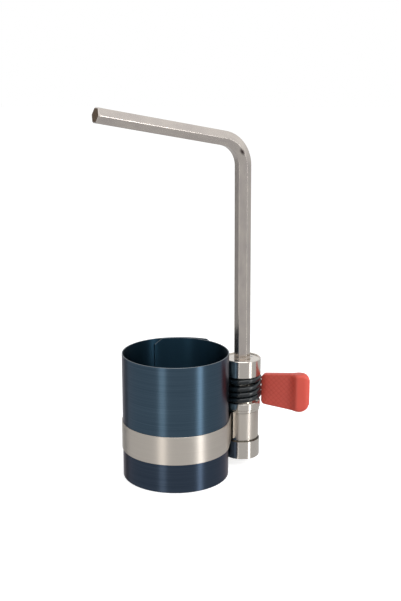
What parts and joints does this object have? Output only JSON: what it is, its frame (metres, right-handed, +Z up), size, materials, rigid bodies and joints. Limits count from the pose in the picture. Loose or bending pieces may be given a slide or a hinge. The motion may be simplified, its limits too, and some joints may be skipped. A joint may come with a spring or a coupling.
{
  "type": "piston ring compressor",
  "caption": "Piston ring compressor: rolled spring-steel sleeve drawn in by a band that a bent hex key winds into a side barrel, held by a wrap spring with a red release lever.",
  "frame": {"origin": "on the sleeve's axis at its lower rim, the rim that rests on the engine block", "axes": "+Z up along the sleeve's axis, towards the key; +X to the right of the picture, where the barrel is; +Y away from the camera"},
  "size_m": [0.1473, 0.0776, 0.2585],
  "materials": {
    "blued_steel": "blued rolled spring steel, brushed round the sleeve",
    "band_steel": "bright steel strip, brushed along its length",
    "barrel_steel": "turned and nickel plated, polished",
    "bronze": "sintered bronze, satin",
    "pin_steel": "hardened, dark",
    "black_spring_steel": "black phosphated spring wire with an oiled gloss",
    "red_plastic": "moulded soft plastic with a fine diamond grain",
    "key_steel": "plated hex bar, satin"
  },
  "bodies": {
    "housing": {"compression_sleeve": "blued_steel", "tension_band": "band_steel", "housing_tube": "barrel_steel", "lower_drum": "barrel_steel", "bottom_ring": "barrel_steel", "upper_bush": "bronze", "lower_bush": "bronze", "thrust_washer": "bronze", "bottom_washer": "barrel_steel"},
    "shaft": {"winding_shaft": "barrel_steel", "upper_drum": "barrel_steel", "drum_dowel": "pin_steel", "band_wound_end": "band_steel", "band_anchor_pin": "pin_steel", "retaining_ring": "pin_steel"},
    "lever": {"wrap_spring": "black_spring_steel", "release_lever": "red_plastic"},
    "key": {"hex_key": "key_steel"}
  },
  "joints": [
    {"name": "shaft_turn", "type": "hinge", "parent": "housing", "child": "shaft", "pos_m": [0.04696, 0.02071, 0.03], "axis": [0, 0, -1], "range_deg": [-300, 480]},
    {"name": "lever_release", "type": "hinge", "parent": "housing", "child": "lever", "pos_m": [0.04696, 0.02071, 0.058], "axis": [0, 0, 1], "range_deg": [0, 18], "stiffness_Nm_per_rad": 0.8},
    {"name": "key_lift", "type": "slide", "parent": "shaft", "child": "key", "axis": [-0.0071, 0, 1], "range_m": [0, 0.04]}
  ]
}
